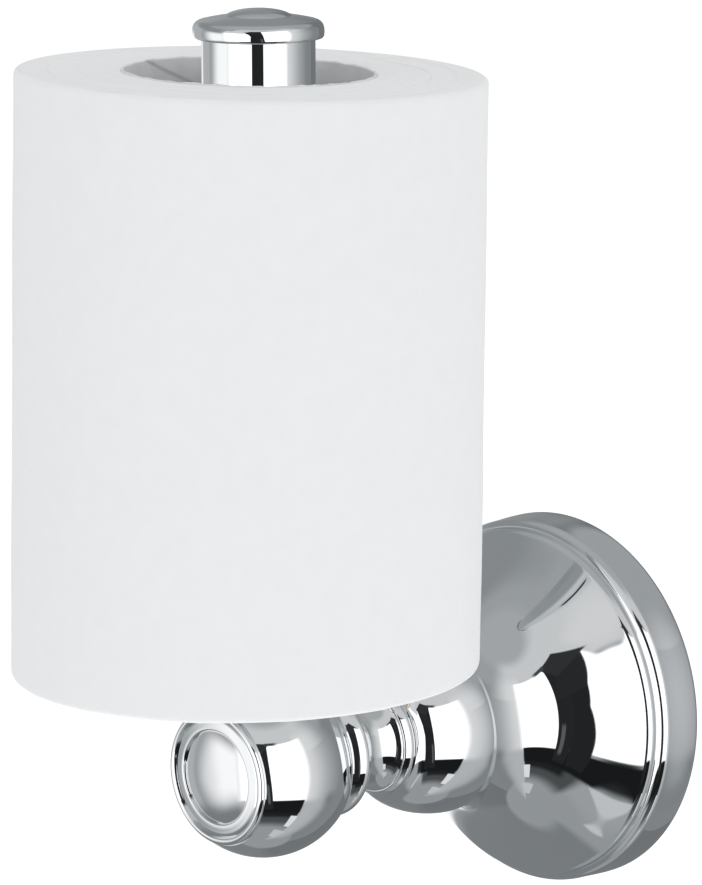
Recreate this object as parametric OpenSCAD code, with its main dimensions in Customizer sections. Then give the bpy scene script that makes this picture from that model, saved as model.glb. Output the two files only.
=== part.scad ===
// Wall-mounted storage holder for one toilet roll.
// A round flange carries a short turned arm along -Y. A ball at its end carries an upright post,
// and the roll stands over the post on a flat disc. The wall is the plane y = 0, and +Z is up.
// Turned pieces are drawn as half profiles of [radius, place on the axis] and revolved.

/* [Flange] */
// Outside diameter of the flange
flange_d = 70; // [68:0.5:84]
// Depth of the broad outer band of the flange's rim
rim_band_depth = 7.4; // [7:0.1:9]
// How far the outer band tapers in towards the room, on the radius
rim_band_taper = 0.7; // [0.2:0.1:1.2]
// Distance from the wall to where the bell starts, in front of the rim's two beads
bell_start = 11.5; // [11:0.1:14]
// Diameter of the neck where the bell turns into the bulb
waist_d = 32.6; // [31:0.2:34]
// Diameter of the bulb's front where it turns in under the lip
bulb_front_d = 19.5; // [19:0.1:20]
// Diameter over the small lip at the neck's mouth
lip_d = 20.8; // [20:0.2:22]

/* [Arm] */
// Distance from the wall to the post's axis
reach = 78; // [76:0.5:110]
// Length of the spool-shaped collar
collar_len = 10; // [9:0.1:12]
// Diameter of the collar at its narrowest place
collar_waist_d = 17.2; // [16.5:0.2:19]
// Diameter of the collar's two ends
collar_end_d = 19.2; // [18.6:0.2:20.6]
// Diameter over the bead ring behind the ball
bead_d = 24; // [22:0.5:25]
// Width of the bead ring along the arm
bead_w = 4.8; // [4.6:0.1:6]
// Diameter of the ball
ball_d = 33; // [32:0.5:40]
// Diameter of the centring spigots between the arm's turned pieces
register_d = 12; // [11:0.5:13]
// Length of the centring spigots
register_len = 1.5; // [1:0.25:2]

/* [End cap] */
// Diameter of the round cover on the front of the ball
end_cap_d = 24.8; // [23:0.2:26]
// Diameter of the raised button in its middle
button_d = 16.4; // [14:0.2:17]
// Height of the raised button
button_h = 1.7; // [1:0.1:3]
// Diameter of the cover's plug, which goes into the ball
plug_d = 19; // [18.4:0.2:20]

/* [Post] */
// Outside diameter of the post
post_d = 20; // [18:0.5:24]
// Wall thickness of the post's tube
post_wall = 1.5; // [1:0.1:2]
// Height of the post's top end above the arm's axis
post_top = 131.6; // [110:0.5:180]
// Diameter over the rim of the post's cap
cap_d = 23.2; // [22:0.2:30]
// Thickness of the cap's rim
cap_rim_h = 3.2; // [2.8:0.1:5]
// Height of the cap's round button above its rim
cap_button_h = 1.9; // [1:0.1:5]
// Diameter of the cap's round button
cap_button_d = 11.8; // [9:0.2:14]
// Diameter of the disc that the roll stands on
disc_d = 56; // [52:1:60]
// Thickness of the disc
disc_h = 2.2; // [1.6:0.1:4]

/* [Toilet roll] */
// Height of the roll
roll_h = 107; // [90:1:107]
// Diameter of the paper
roll_d = 83; // [70:1:90]
// Bore of the cardboard core
core_bore = 43.6; // [38:0.2:46]
// Thickness of the cardboard
core_wall = 0.7; // [0.5:0.1:1.5]
// How far the loose roll sits off the post's axis, away from the wall
roll_off_out = 2.2; // [0:0.1:3]

/* [Fixings] */
// Thickness of the mounting plate
plate_t = 6; // [5.6:0.1:7]
// Diameter of the mounting plate's middle hole
plate_hole_d = 24; // [16:1:26]
// Distance between the two wall screw holes
screw_pitch = 40; // [32:1:44]
// Diameter of the wall screw holes
screw_hole_d = 4.8; // [4:0.1:5.5]
// Diameter of the countersinks
sink_d = 9.4; // [8:0.2:10]
// Wall thickness of the flange at its rim
flange_wall = 3.9; // [3.5:0.1:4.6]
// Diameter of the grub screw
grub_d = 5; // [4:0.5:5]
// Diameter of the arm's bolt and of the post's stud
bolt_d = 8; // [6:1:8]
// Diameter of the bolt's head
bolt_head_d = 13; // [12:0.5:13]
// Height of the bolt's head
bolt_head_h = 8; // [6:0.5:8]
// Thickness of the split washer
washer_t = 1.6; // [1.2:0.1:2]
// Height of the nut
nut_h = 6.5; // [5:0.5:6.5]
// Width of the nut across its flats
nut_flats = 13; // [12:0.5:14]
// Length of the threaded bush at the foot of the post
foot_bush_len = 14; // [10:1:20]
// Length of the threaded bush at the top of the post
head_bush_len = 10; // [8:1:14]

/* [Clearances] */
// Gap between pieces that fit inside each other
fit_gap = 0.1; // [0.05:0.01:0.15]
// Gap round the shanks of screws and bolts
shank_gap = 0.3; // [0.2:0.05:0.4]
// Gap between the roll and what it turns on
roll_gap = 0.2; // [0.1:0.05:0.3]

/* [Hidden] */
$fn = 96;
eps = 0.01;
chrome_colour = [0.78, 0.8, 0.82];
zinc_colour = [0.62, 0.64, 0.66];
brass_colour = [0.76, 0.62, 0.34];
rubber_colour = [0.12, 0.12, 0.13];
card_colour = [0.72, 0.68, 0.62];
paper_colour = [0.94, 0.94, 0.94];

flange_r = flange_d / 2;
ball_r = ball_d / 2;
post_r = post_d / 2;
bolt_r = bolt_d / 2;
hole_r = bolt_r + shank_gap;
register_r = register_d / 2;
plate_r = flange_r - flange_wall - fit_gap;
plate_bore_r = flange_r - flange_wall;

// The rim in front of its outer band: a rounded edge, a cove and a small bead.
rim_back_round = 1.2;
rim_edge_round = 0.9;
rim_bead_round = 0.85;
rim_bead_r = flange_r - 2.35;
cove_in = 0.75;

// The arm's stack of turned pieces, as distances from the wall.
bead_r = bead_d / 2;
ball_back_r = bead_r + 0.1;
ball_back = reach - sqrt(ball_r * ball_r - ball_back_r * ball_back_r);
collar_front = ball_back - bead_w;
neck_mouth = collar_front - collar_len;
ball_front_r = end_cap_d / 2 + 0.15;
ball_front = reach + sqrt(ball_r * ball_r - ball_front_r * ball_front_r);
head_seat = reach - 6;
head_room_r = bolt_head_d / 2 + 0.5;
plug_len = 4;
plug_room = ball_front - plug_len - 0.2;

// The hollow behind the bell, and the washer and nut at its end.
socket_depth = plate_t + 0.5;
hollow_start_r = plate_bore_r - 2.6;
neck_solid_len = 21;
nut_seat = neck_mouth - neck_solid_len;
washer_r = nut_flats / 2 + 0.3;
nut_corner_r = nut_flats / sqrt(3) + eps;
nut_chamfer = 0.8;
nut_room_r = nut_corner_r + 3.7;
washer_back = nut_seat - washer_t;
nut_back = washer_back - nut_h;
bolt_end = nut_back - 0.9;

// The post's stack, as heights above the arm's axis.
hub_seat = sqrt(ball_r * ball_r - post_r * post_r) - 0.5;
disc_under = ball_r + 0.1;
disc_top = disc_under + disc_h;
stud_foot = head_room_r + 0.2;
stud_top = disc_top + foot_bush_len - 1;
tube_bore_r = post_r - post_wall;
cap_spigot_len = 2.8;
cap_stud_r = 3;
cap_stud_len = 9;
cap_r = cap_d / 2;
head_bush_top = post_top - cap_spigot_len - fit_gap;

// The roll's solids, from the disc up.
roll_foot = disc_top + roll_gap;
core_r = core_bore / 2 + core_wall;
roll_r = roll_d / 2;
roll_edge_round = 0.8;

// Points on a round arc from angle a0 to angle a1.
function arc(c, r, a0, a1, steps = 8) =
    [for (i = [0:steps]) let (a = a0 + (a1 - a0) * i / steps) [c[0] + r * cos(a), c[1] + r * sin(a)]];

// Points on a smooth curve that leaves p0 towards p1 and reaches p3 from p2.
function curve(p0, p1, p2, p3, steps = 16) =
    [for (i = [0:steps]) let (t = i / steps, s = 1 - t)
        s*s*s * p0 + 3*s*s*t * p1 + 3*s*t*t * p2 + t*t*t * p3];

// The rim's outline from the wall to the start of the bell.
function rim_outline() =
    let (band_r = flange_r - rim_band_taper,
         edge_c = [band_r - rim_edge_round, rim_band_depth],
         bead_c = [rim_bead_r, bell_start - rim_bead_round - 0.15],
         cove_r = band_r - cove_in)
    concat(
        [[flange_r - rim_back_round, 0]],
        arc([flange_r - rim_back_round, rim_back_round], rim_back_round, -70, 0, 6),
        curve([flange_r, rim_back_round], [flange_r + 0.1, 3.4], [band_r + 0.25, 5.6],
              [band_r, rim_band_depth], 10),
        arc(edge_c, rim_edge_round, 10, 78, 6),
        curve([cove_r, edge_c[1] + rim_edge_round + 0.05], [cove_r - 0.35, edge_c[1] + rim_edge_round + 0.2],
              [rim_bead_r + 0.35, bead_c[1] - rim_bead_round - 0.1], [rim_bead_r + 0.55, bead_c[1] - 0.6], 6),
        arc(bead_c, rim_bead_round, -20, 80, 8));

bell_foot = [rim_bead_r - 0.15, bell_start + 0.4];
waist = [waist_d / 2, neck_mouth - 16.65];
bulb_front = [bulb_front_d / 2, neck_mouth - 2.3];

// The bell flares out of the bulb like an open trumpet.
function bell_outline() =
    let (span = waist[1] - bell_foot[1], rise = bell_foot[0] - waist[0])
    curve(bell_foot, bell_foot + [-0.481 * rise, 0.25 * span],
          waist + [-0.093 * rise, -0.524 * span], waist, 28);

function bulb_outline() =
    curve(waist, waist + [0.36, 2.9], bulb_front + [5.3, -1.67], bulb_front, 20);

function lip_outline() =
    let (lip_round = 0.75, lip_c = [lip_d / 2 - lip_round, neck_mouth - lip_round])
    concat(
        [[lip_d / 2 - 0.6, bulb_front[1] + 0.5]],
        arc(lip_c, lip_round, -40, 90, 8));

// Revolves a half profile round the arm's axis, with the wall at 0.
module turned(profile) {
    rotate([90, 0, 0])
        rotate_extrude()
            polygon(profile);
}

// Revolves a half profile round the post's axis, with the arm's axis at 0.
module turned_upright(profile) {
    translate([0, -reach, 0])
        rotate_extrude()
            polygon(profile);
}

// A round hole or rod on the arm's axis between two distances from the wall.
module along_arm(r, from, to) {
    translate([0, -from, 0])
        rotate([90, 0, 0])
            cylinder(r = r, h = to - from);
}

// A hexagonal prism on the arm's axis.
module hex_along_arm(flats, from, to) {
    translate([0, -from, 0])
        rotate([90, 0, 0])
            cylinder(r = flats / sqrt(3), h = to - from, $fn = 6);
}

// A round hole or rod on the post's axis between two heights.
module along_post(r, from, to) {
    translate([0, -reach, from])
        cylinder(r = r, h = to - from);
}

grub_y = 3.4;
groove_half = 1.7;
groove_depth = 1.3;

// Cast ring plate that is screwed to the wall. Its grooved edge is what the grub screw bites on.
module wall_plate() {
    hole_edge_r = plate_hole_d / 2;
    color(zinc_colour)
        difference() {
            turned([[hole_edge_r, 0], [plate_r - 0.4, 0], [plate_r, 0.4], [plate_r, grub_y - groove_half],
                    [plate_r - groove_depth, grub_y - 0.35], [plate_r - groove_depth, grub_y + 0.35],
                    [plate_r, grub_y + groove_half], [plate_r, plate_t - 0.6], [plate_r - 0.6, plate_t],
                    [hole_edge_r + 0.5, plate_t], [hole_edge_r, plate_t - 0.5]]);
            for (side = [-1, 1])
                translate([0, 0, side * screw_pitch / 2])
                    wall_screw_hole();
        }
}

module wall_screw_hole() {
    along_arm(screw_hole_d / 2, -1, plate_t + 1);
    sink_depth = (sink_d - screw_hole_d) / 2;
    translate([0, -plate_t + sink_depth, 0])
        rotate([90, 0, 0])
            cylinder(r1 = screw_hole_d / 2, r2 = sink_d / 2 + eps, h = sink_depth + eps);
}

// Socket set screw, set in from below through the flange's rim.
module grub_screw() {
    grub_r = grub_d / 2;
    point_top = plate_r - groove_depth + fit_gap;
    body_top = plate_bore_r + 0.1;
    foot = flange_r - 0.5;
    color(zinc_colour)
        translate([0, -grub_y, 0])
            difference() {
                rotate_extrude()
                    polygon([[0, -point_top], [0.5, -point_top], [1.5, -body_top], [grub_r - 0.3, -body_top],
                             [grub_r, -body_top - 0.3], [grub_r, -foot], [0, -foot]]);
                translate([0, 0, -foot - 1])
                    cylinder(r = grub_d / 4, h = 3, $fn = 6);
            }
}

// Bell-shaped flange with its neck, hollow behind, open towards the wall.
module flange() {
    hollow = concat(
        [[0, -1], [plate_bore_r, -1], [plate_bore_r, socket_depth], [hollow_start_r, socket_depth]],
        curve([hollow_start_r, bell_start - 2.2], [hollow_start_r - 3.6, bell_start + 3.6],
              [nut_room_r + 2.2, nut_seat - 9], [nut_room_r, nut_seat], 14),
        [[0, nut_seat]]);
    color(chrome_colour)
        difference() {
            turned(concat([[0, 0]], rim_outline(), bell_outline(), bulb_outline(), lip_outline(),
                          [[0, neck_mouth]]));
            turned(hollow);
            along_arm(hole_r, nut_seat - 1, neck_mouth + 1);
            along_arm(register_r + fit_gap, neck_mouth - register_len - fit_gap, neck_mouth + 1);
            translate([0, -grub_y, -flange_r - 1])
                cylinder(r = grub_d / 2 + fit_gap, h = flange_wall + 2);
        }
}

// Spool-shaped collar between the flange's neck and the bead ring.
module neck_collar() {
    end_r = collar_end_d / 2;
    waist_r = collar_waist_d / 2;
    front_lip = 0.55;
    color(chrome_colour)
        turned(concat(
            [[hole_r, neck_mouth - register_len], [register_r, neck_mouth - register_len],
             [register_r, neck_mouth]],
            [[end_r - 0.15, neck_mouth]],
            curve([end_r, neck_mouth + 0.15], [waist_r, neck_mouth + 1.8],
                  [waist_r - 0.1, collar_front - 4.6], [end_r - 0.35, collar_front - 2.1], 14),
            arc([end_r - front_lip, collar_front - front_lip - 0.9], front_lip, -40, 90, 6),
            [[end_r - 0.9, collar_front - 0.6], [end_r - 0.9, collar_front],
             [register_r, collar_front], [register_r, collar_front + register_len],
             [hole_r, collar_front + register_len]]));
}

// Half-round bead ring that sits against the back of the ball.
module bead_ring() {
    ring_round = 2.3;
    ball_side_r = bead_r - 0.9;
    recess = collar_front + register_len + fit_gap;
    color(chrome_colour)
        turned(concat(
            [[hole_r, recess], [register_r + fit_gap, recess], [register_r + fit_gap, collar_front]],
            [[bead_r - ring_round, collar_front]],
            arc([bead_r - ring_round, collar_front + ring_round], ring_round, -80, 0, 10),
            curve([bead_r, collar_front + ring_round + 0.1], [bead_r, ball_back - 1.4],
                  [bead_r - 0.3, ball_back - 0.5], [ball_side_r, ball_back], 8),
            [[register_r, ball_back], [register_r, ball_back + register_len],
             [hole_r, ball_back + register_len]]));
}

// Ball at the end of the arm, bored for the arm's bolt, the front cover and the post.
module ball_body() {
    color(chrome_colour)
        difference() {
            translate([0, -reach, 0])
                rotate([90, 0, 0])
                    sphere(r = ball_r, $fn = 160);
            translate([-ball_r, -ball_back, -ball_r])
                cube([2 * ball_r, ball_r, 2 * ball_r]);
            translate([-ball_r, -ball_front - ball_r, -ball_r])
                cube([2 * ball_r, ball_r, 2 * ball_r]);
            along_arm(plug_d / 2 + fit_gap, plug_room, ball_front + 1);
            along_arm(head_room_r, head_seat, plug_room + eps);
            along_arm(hole_r, ball_back - 1, head_seat + eps);
            along_arm(register_r + fit_gap, ball_back - 1, ball_back + register_len + fit_gap);
            along_post(post_r + fit_gap, hub_seat, ball_r + 1);
            along_post(bolt_r + fit_gap, 0, ball_r);
        }
}

// Pressed-in cover on the front of the ball: rim bead, flat ring and a low domed button.
module end_cap() {
    rim_round = 0.95;
    rim_c = [end_cap_d / 2 - rim_round, ball_front + 0.35];
    ring_r = rim_c[0] - rim_round - 0.25;
    ring_out = ball_front + 0.75;
    button_r = button_d / 2;
    button_out = ring_out + button_h;
    plug_r = plug_d / 2;
    plug_back = ball_front - plug_len;
    groove = plug_back + 1.2;
    groove_w = 1.6;
    groove_r = plug_r - 1.2;
    color(chrome_colour)
        turned(concat(
            [[0, ball_front - 1.4], [plug_r - 2.4, ball_front - 1.4], [plug_r - 2.4, plug_back],
             [plug_r - 0.3, plug_back], [plug_r, plug_back + 0.3], [plug_r, groove], [groove_r, groove],
             [groove_r, groove + groove_w], [plug_r, groove + groove_w], [plug_r, ball_front],
             [end_cap_d / 2 - 0.1, ball_front]],
            arc(rim_c, rim_round, 0, 150, 12),
            curve([ring_r + 0.1, ring_out - 0.25], [ring_r, ring_out - 0.2], [ring_r - 0.1, ring_out],
                  [ring_r - 0.4, ring_out], 5),
            curve([button_r + 0.3, ring_out], [button_r - 0.1, ring_out], [button_r - 0.35, ring_out + 0.15],
                  [button_r - 0.6, ring_out + 0.45], 5),
            curve([button_r - 0.9, ring_out + 0.72], [button_r * 0.72, button_out - 0.22],
                  [button_r * 0.36, button_out], [0, button_out], 12)));
}

// Rubber ring in the cover's groove.
module cap_seal() {
    seal_round = 0.6;
    seal_r = plug_d / 2 - seal_round + 0.05;
    seal_y = ball_front - plug_len + 2;
    color(rubber_colour)
        translate([0, -seal_y, 0])
            rotate([90, 0, 0])
                rotate_extrude()
                    translate([seal_r, 0])
                        circle(r = seal_round, $fn = 24);
}

// Socket head bolt that draws the ball, bead ring and collar onto the flange's neck.
module arm_bolt() {
    key_flats = 6;
    key_depth = 4;
    head_front = head_seat + bolt_head_h;
    color(zinc_colour)
        difference() {
            union() {
                along_arm(bolt_r, bolt_end, head_seat + eps);
                turned([[0, head_seat], [bolt_head_d / 2, head_seat], [bolt_head_d / 2, head_front - 0.6],
                        [bolt_head_d / 2 - 0.6, head_front], [0, head_front]]);
            }
            hex_along_arm(key_flats, head_front - key_depth, head_front + 1);
        }
}

// Split spring washer under the nut.
module arm_washer() {
    split = 1.2;
    color(zinc_colour)
        difference() {
            along_arm(washer_r, washer_back, nut_seat);
            along_arm(bolt_r + fit_gap, washer_back - 1, nut_seat + 1);
            translate([-split / 2, -nut_seat - 1, 0])
                cube([split, washer_t + 2, washer_r + 1]);
        }
}

// Hexagon nut inside the flange's hollow.
module arm_nut() {
    color(zinc_colour)
        difference() {
            intersection() {
                hex_along_arm(nut_flats, nut_back, washer_back);
                turned([[0, nut_back], [nut_flats / 2, nut_back], [nut_corner_r, nut_back + nut_chamfer],
                        [nut_corner_r, washer_back - nut_chamfer], [nut_flats / 2, washer_back],
                        [0, washer_back]]);
            }
            along_arm(bolt_r + fit_gap / 2, nut_back - 1, washer_back + 1);
        }
}

// Disc that the roll stands on, with the hub that seats in the top of the ball.
module rest_disc() {
    disc_r = disc_d / 2;
    edge = disc_h / 2;
    color(chrome_colour)
        turned_upright(concat(
            [[bolt_r + fit_gap, hub_seat], [post_r, hub_seat], [post_r, disc_under]],
            arc([disc_r - edge, disc_under + edge], edge, -90, 90, 12),
            [[bolt_r + fit_gap, disc_top]]));
}

// Threaded stud that holds the post and the disc down on the ball.
module post_stud() {
    color(zinc_colour)
        turned_upright([[0, stud_foot], [bolt_r - 0.5, stud_foot], [bolt_r, stud_foot + 0.5],
                        [bolt_r, stud_top - 0.5], [bolt_r - 0.5, stud_top], [0, stud_top]]);
}

// Brass bush pressed into the foot of the tube.
module foot_bush() {
    bush_r = tube_bore_r - fit_gap / 2;
    bush_top = disc_top + foot_bush_len;
    color(brass_colour)
        turned_upright([[bolt_r + fit_gap / 2, disc_top], [bush_r, disc_top], [bush_r, bush_top - 0.8],
                        [bush_r - 0.8, bush_top], [bolt_r + fit_gap / 2, bush_top]]);
}

// Upright chrome tube.
module post_tube() {
    color(chrome_colour)
        turned_upright([[tube_bore_r, disc_top], [post_r, disc_top], [post_r, post_top],
                        [tube_bore_r, post_top]]);
}

// Brass bush near the top of the tube, threaded for the cap's stud.
module head_bush() {
    bush_r = tube_bore_r - fit_gap / 2;
    bush_foot = head_bush_top - head_bush_len;
    color(brass_colour)
        turned_upright([[cap_stud_r + fit_gap / 2, bush_foot], [bush_r - 0.8, bush_foot],
                        [bush_r, bush_foot + 0.8], [bush_r, head_bush_top],
                        [cap_stud_r + fit_gap / 2, head_bush_top]]);
}

// Turned cap: stud, centring spigot, rounded rim and a low round button.
module post_cap() {
    rim_foot = [cap_r - 0.4, post_top];
    widest = [cap_r, post_top + 0.34 * cap_rim_h];
    shoulder = [cap_r - 1.5, post_top + 0.98 * cap_rim_h];
    button_r = cap_button_d / 2;
    button_foot = [button_r, post_top + cap_rim_h + 0.67];
    button_top = post_top + cap_rim_h + cap_button_h;
    spigot_r = tube_bore_r - fit_gap;
    stud_end = post_top - cap_spigot_len - cap_stud_len;
    color(chrome_colour)
        turned_upright(concat(
            [[0, stud_end], [cap_stud_r - 0.5, stud_end], [cap_stud_r, stud_end + 0.5],
             [cap_stud_r, post_top - cap_spigot_len], [spigot_r - 0.3, post_top - cap_spigot_len],
             [spigot_r, post_top - cap_spigot_len + 0.3], [spigot_r, post_top]],
            curve(rim_foot, rim_foot + [0.3, 0], widest + [0, -0.6], widest, 6),
            curve(widest, widest + [0, 1.1], shoulder + [1.1, -0.2], shoulder, 10),
            curve(shoulder, shoulder + [-1.3, 0.3], button_foot + [1.2, -0.12], button_foot, 8),
            curve(button_foot, button_foot + [-1, 0.85], [button_r * 0.42, button_top],
                  [0, button_top], 14)));
}

// Moves the roll's solids onto its own axis, since the loose roll hangs a little off the post.
module on_roll_axis() {
    translate([0, -reach - roll_off_out, roll_foot])
        children();
}

// Cardboard core of the roll.
module roll_core() {
    color(card_colour)
        on_roll_axis()
            difference() {
                cylinder(r = core_r, h = roll_h);
                translate([0, 0, -1])
                    cylinder(r = core_bore / 2, h = roll_h + 2);
            }
}

// Wound paper, with softly rounded outer edges.
module roll_paper() {
    bore_r = core_r + roll_gap;
    color(paper_colour)
        on_roll_axis()
            rotate_extrude($fn = 128)
                polygon(concat(
                    [[bore_r, 0]],
                    arc([roll_r - roll_edge_round, roll_edge_round], roll_edge_round, -90, 0, 6),
                    arc([roll_r - roll_edge_round, roll_h - roll_edge_round], roll_edge_round, 0, 90, 6),
                    [[bore_r, roll_h]]));
}

wall_plate();
grub_screw();
flange();
neck_collar();
bead_ring();
ball_body();
end_cap();
cap_seal();
arm_bolt();
arm_washer();
arm_nut();
rest_disc();
post_stud();
foot_bush();
post_tube();
head_bush();
post_cap();
roll_core();
roll_paper();
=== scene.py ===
"""Looks of a wall-mounted storage holder for one toilet roll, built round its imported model."""
import math

import bmesh
import bpy
from mathutils import Matrix, Vector, noise as wave


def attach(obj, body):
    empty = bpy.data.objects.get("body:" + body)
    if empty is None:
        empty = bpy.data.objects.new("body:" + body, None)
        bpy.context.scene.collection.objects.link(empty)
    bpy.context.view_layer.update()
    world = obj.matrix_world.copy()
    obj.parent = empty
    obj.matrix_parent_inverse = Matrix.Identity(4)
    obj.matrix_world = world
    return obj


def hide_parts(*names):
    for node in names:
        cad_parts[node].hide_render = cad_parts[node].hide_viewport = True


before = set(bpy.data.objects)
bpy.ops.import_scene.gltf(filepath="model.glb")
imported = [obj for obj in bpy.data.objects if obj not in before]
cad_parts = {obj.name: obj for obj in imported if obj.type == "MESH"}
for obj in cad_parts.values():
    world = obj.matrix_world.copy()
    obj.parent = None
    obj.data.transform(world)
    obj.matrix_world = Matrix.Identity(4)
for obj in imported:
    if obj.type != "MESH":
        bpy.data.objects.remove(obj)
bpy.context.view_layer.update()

bl_info = {
    "name": "Toilet roll storage holder",
    "version": (1, 0, 0),
    "blender": (4, 5, 0),
    "location": "3D View > Sidebar > Roll holder",
    "description": "Builds the finished look of a wall-mounted storage holder for a toilet roll",
    "category": "Object",
}

MM = 0.001
TAU = 2 * math.pi
CREASE = math.radians(24)
SEGMENTS, FINE_SEGMENTS = 192, 224


# Sizes and colours that a user may change

def length(name, description, default_mm):
    """A size of the object. The default is given in millimetres."""
    return bpy.props.FloatProperty(
        name=name, description=description, default=default_mm * MM,
        min=0.0, precision=5, unit="LENGTH", subtype="DISTANCE",
    )


def colour(name, description, default):
    """A surface colour."""
    return bpy.props.FloatVectorProperty(
        name=name, description=description, default=default,
        size=3, min=0.0, max=1.0, subtype="COLOR",
    )


def share(name, description, default):
    """A value from none to full."""
    return bpy.props.FloatProperty(
        name=name, description=description, default=default, min=0.0, max=1.0, subtype="FACTOR",
    )


class HolderSizes(bpy.types.PropertyGroup):
    """Sizes of the turned metal pieces."""
    flange_d: length("Flange diameter", "Outside diameter of the flange on the wall", 70)
    rim_band_depth: length("Rim band depth", "Depth of the broad outer band of the rim", 7.93)
    rim_band_taper: length("Rim band taper", "How far the outer band tapers in, on the radius", 0.25)
    bell_start: length("Bell start", "Distance from the wall to where the bell starts", 11.5)
    waist_d: length("Waist diameter", "Diameter of the neck where the bell turns into the bulb", 32.6)
    bulb_front_d: length("Bulb front diameter", "Diameter of the bulb where it meets the lip", 19.5)
    lip_d: length("Lip diameter", "Diameter over the lip at the neck's mouth", 20.8)
    flange_wall: length("Flange wall", "Wall thickness of the flange at its rim", 3.9)
    reach: length("Reach", "Distance from the wall to the post's axis", 78)
    collar_len: length("Collar length", "Length of the spool-shaped collar", 10)
    collar_waist_d: length("Collar waist", "Diameter of the collar at its narrowest place", 14.2)
    collar_end_d: length("Collar end", "Diameter of the collar's two ends", 19.2)
    bead_d: length("Bead ring diameter", "Diameter over the bead ring behind the ball", 24)
    bead_w: length("Bead ring width", "Width of the bead ring along the arm", 4.8)
    ball_d: length("Ball diameter", "Diameter of the ball", 33)
    end_cap_d: length("Cover diameter", "Diameter of the cover on the front of the ball", 24.8)
    dome_d: length("Cover dome diameter", "Diameter of the low dome of the cover", 17.0)
    dome_h: length("Cover dome height", "Height of the low dome over the cover's ring", 0.9)
    post_d: length("Post diameter", "Outside diameter of the post", 20)
    post_wall: length("Post wall", "Wall thickness of the post's tube", 1.5)
    post_top: length("Post height", "Height of the post's top end above the arm's axis", 131.6)
    cap_d: length("Cap diameter", "Diameter over the rim of the post's cap", 23.2)
    cap_rim_h: length("Cap rim", "Thickness of the cap's rim", 3.2)
    cap_button_d: length("Cap button diameter", "Diameter of the cap's round button", 11.8)
    cap_button_h: length("Cap button height", "Height of the cap's round button above its rim", 1.9)
    disc_d: length("Disc diameter", "Diameter of the disc that the roll stands on", 56)
    disc_h: length("Disc thickness", "Thickness of that disc", 2.2)


class RollSizes(bpy.types.PropertyGroup):
    """Sizes and form of the toilet roll."""
    height: length("Roll height", "Height of the roll", 107)
    foot_d: length("Foot diameter", "Diameter of the paper at its foot", 83.9)
    top_d: length("Top diameter", "Diameter of the paper at its top", 83.1)
    core_bore: length("Core bore", "Bore of the cardboard core", 43.6)
    core_wall: length("Core wall", "Thickness of the cardboard", 0.7)
    off_out: length("Roll off the post", "How far the loose roll sits off the post's axis", 2.2)
    layer: length("Layer pitch", "Distance between the wound layers that show at the ends", 0.62)
    ragged: length("Ragged edge", "Height of the fray along the core's cut edge", 0.22)


class HolderFinish(bpy.types.PropertyGroup):
    """Colours and gloss."""
    chrome: colour("Chrome", "Colour of the polished chrome plate", (0.80, 0.815, 0.83))
    zinc: colour("Zinc", "Colour of the zinc plated steel", (0.55, 0.57, 0.6))
    brass: colour("Brass", "Colour of the turned brass", (0.72, 0.53, 0.24))
    rubber: colour("Rubber", "Colour of the sealing ring", (0.02, 0.02, 0.022))
    paper: colour("Paper", "Colour of the tissue", (0.86, 0.87, 0.875))
    board: colour("Cardboard", "Colour of the roll's core", (0.80, 0.81, 0.82))
    smudge: share("Smudges", "How strongly faint smudges show on the chrome", 0.35)
    grain: share("Paper grain", "How strongly the tissue's fibres show", 0.6)


class StudioSettings(bpy.types.PropertyGroup):
    """Floor and light."""
    floor: colour("Floor", "Colour of the floor", (0.86, 0.86, 0.865))
    panel_power: bpy.props.FloatProperty(
        name="Light panels", description="Brightness of the room that the chrome mirrors",
        default=1.0, min=0.0,
    )
    floor_drop: length("Floor drop", "How far the floor lies under the arm's axis", 240)
    fill: bpy.props.FloatProperty(
        name="Soft fill", description="Brightness of the even light on soft surfaces",
        default=0.72, min=0.0,
    )
    overhead: bpy.props.FloatProperty(
        name="Overhead light", description="Power of the soft light above",
        default=4.0, min=0.0, unit="POWER",
    )


def settings():
    """The holder's sizes, the roll's sizes, the finish and the studio."""
    scene = bpy.context.scene
    return scene.holder_sizes, scene.roll_sizes, scene.holder_finish, scene.holder_studio


# Half profiles, as points of [radius, place on the axis] in millimetres

def arc(centre, radius, start, end, steps):
    """Points on a round arc from angle start to angle end, in degrees."""
    angles = [math.radians(start + (end - start) * i / steps) for i in range(steps + 1)]
    return [(centre[0] + radius * math.cos(a), centre[1] + radius * math.sin(a)) for a in angles]


def curve(p0, p1, p2, p3, steps):
    """Points on a smooth curve that leaves p0 towards p1 and reaches p3 from p2."""
    points = []
    for i in range(steps + 1):
        t = i / steps
        s = 1 - t
        weights = (s * s * s, 3 * s * s * t, 3 * s * t * t, t * t * t)
        points.append(tuple(sum(w * p[k] for w, p in zip(weights, (p0, p1, p2, p3))) for k in (0, 1)))
    return points


def shifted(point, dx, dy):
    return (point[0] + dx, point[1] + dy)


def split(points, longest):
    """The same outline with every stretch longer than longest cut into equal parts."""
    out = [points[0]]
    for a, b in zip(points, points[1:]):
        gap = math.dist(a, b)
        if gap < 1e-6:
            continue
        parts = max(1, math.ceil(gap / longest))
        out += [(a[0] + (b[0] - a[0]) * k / parts, a[1] + (b[1] - a[1]) * k / parts)
                for k in range(1, parts + 1)]
    return out


def mm(value):
    return value / MM


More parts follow.
